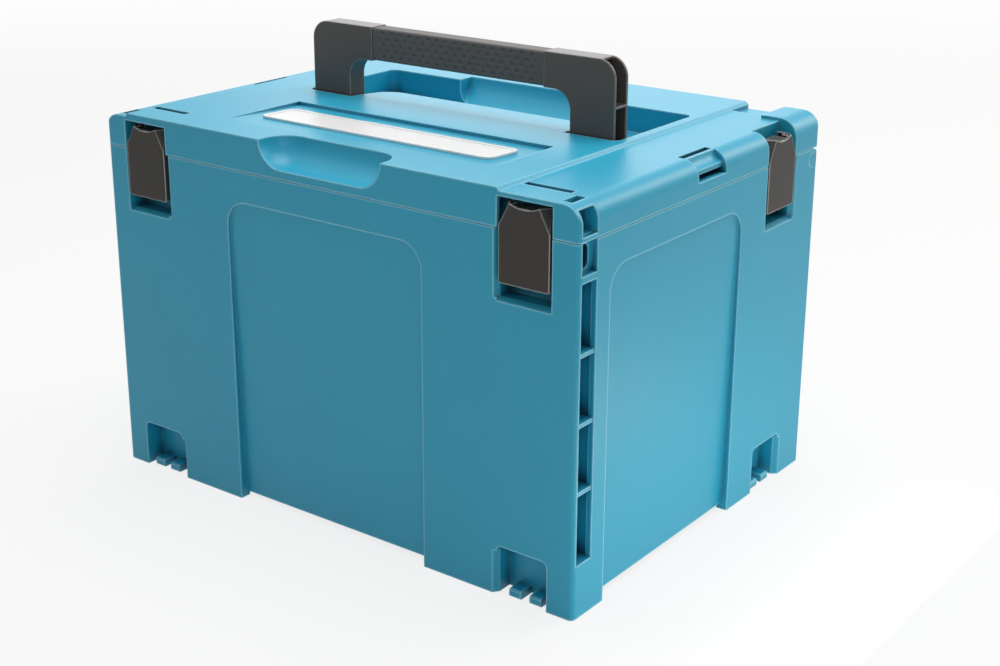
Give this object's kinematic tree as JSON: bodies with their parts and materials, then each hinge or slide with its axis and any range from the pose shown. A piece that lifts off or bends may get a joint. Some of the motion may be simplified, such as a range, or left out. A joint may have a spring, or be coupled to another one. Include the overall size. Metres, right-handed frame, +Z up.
{
  "type": "hard tool case",
  "caption": "Stackable hard plastic tool case with a hinged lid, a fold-down carrying handle and over-centre latches on the front and sides.",
  "frame": {"origin": "centre of the footprint, on the surface that the case stands on", "axes": "+Z up, +X to the right along the long side, -Y towards the front face"},
  "size_m": [0.3968, 0.2964, 0.3137],
  "materials": {
    "tub_plastic": "moulded, fine grain",
    "lid_plastic": "moulded, fine grain",
    "plate_plastic": "smooth",
    "handle_plastic": "moulded, satin",
    "grip_rubber": "soft, dimpled",
    "latch_plastic": "moulded, satin",
    "link_plastic": "moulded",
    "pin_steel": "drawn wire"
  },
  "bodies": {
    "base": {"base_shell": "tub_plastic", "hinge_pin_left": "tub_plastic", "hinge_pin_right": "tub_plastic", "link_pin_front_left": "pin_steel", "link_pin_front_right": "pin_steel", "link_pin_side_right": "pin_steel", "link_pin_side_left": "pin_steel"},
    "lid": {"lid_shell": "lid_plastic", "nameplate": "plate_plastic", "handle_pin_left": "pin_steel", "handle_pin_right": "pin_steel"},
    "handle": {"handle_frame": "handle_plastic", "handle_grip": "grip_rubber"},
    "link_front_left": {"latch_link_front_left": "link_plastic"},
    "lever_front_left": {"latch_lever_front_left": "latch_plastic", "lever_pin_front_left": "pin_steel"},
    "link_front_right": {"latch_link_front_right": "link_plastic"},
    "lever_front_right": {"latch_lever_front_right": "latch_plastic", "lever_pin_front_right": "pin_steel"},
    "link_side_right": {"latch_link_side_right": "link_plastic"},
    "lever_side_right": {"latch_lever_side_right": "latch_plastic", "lever_pin_side_right": "pin_steel"},
    "link_side_left": {"latch_link_side_left": "link_plastic"},
    "lever_side_left": {"latch_lever_side_left": "latch_plastic", "lever_pin_side_left": "pin_steel"}
  },
  "joints": [
    {"name": "lid_hinge", "type": "hinge", "parent": "base", "child": "lid", "pos_m": [0, 0.14, 0.2302], "axis": [-1, 0, 0], "range_deg": [0, 90]},
    {"name": "handle_fold", "type": "hinge", "parent": "lid", "child": "handle", "pos_m": [0, -0.002, 0.2532], "axis": [-1, 0, 0], "range_deg": [0, 90]},
    {"name": "link_front_left_turn", "type": "hinge", "parent": "base", "child": "link_front_left", "pos_m": [-0.1595, -0.14, 0.213], "axis": [1, 0, 0], "range_deg": [0, 55]},
    {"name": "lever_front_left_turn", "type": "hinge", "parent": "link_front_left", "child": "lever_front_left", "pos_m": [-0.1595, -0.142, 0.236], "axis": [1, 0, 0], "range_deg": [-110, 0]},
    {"name": "link_front_right_turn", "type": "hinge", "parent": "base", "child": "link_front_right", "pos_m": [0.1595, -0.14, 0.213], "axis": [1, 0, 0], "range_deg": [0, 55]},
    {"name": "lever_front_right_turn", "type": "hinge", "parent": "link_front_right", "child": "lever_front_right", "pos_m": [0.1595, -0.142, 0.236], "axis": [1, 0, 0], "range_deg": [-110, 0]},
    {"name": "link_side_right_turn", "type": "hinge", "parent": "base", "child": "link_side_right", "pos_m": [0.19, 0.094, 0.213], "axis": [0, 1, 0], "range_deg": [0, 55]},
    {"name": "lever_side_right_turn", "type": "hinge", "parent": "link_side_right", "child": "lever_side_right", "pos_m": [0.192, 0.094, 0.236], "axis": [0, 1, 0], "range_deg": [-110, 0]},
    {"name": "link_side_left_turn", "type": "hinge", "parent": "base", "child": "link_side_left", "pos_m": [-0.19, 0.094, 0.213], "axis": [0, -1, 0], "range_deg": [0, 55]},
    {"name": "lever_side_left_turn", "type": "hinge", "parent": "link_side_left", "child": "lever_side_left", "pos_m": [-0.192, 0.094, 0.236], "axis": [0, -1, 0], "range_deg": [-110, 0]}
  ],
  "couplings": [
    {"joint": "lever_front_left_turn", "follows": "link_front_left_turn", "ratio": -2},
    {"joint": "lever_front_right_turn", "follows": "link_front_right_turn", "ratio": -2},
    {"joint": "lever_side_right_turn", "follows": "link_side_right_turn", "ratio": -2},
    {"joint": "lever_side_left_turn", "follows": "link_side_left_turn", "ratio": -2}
  ]
}
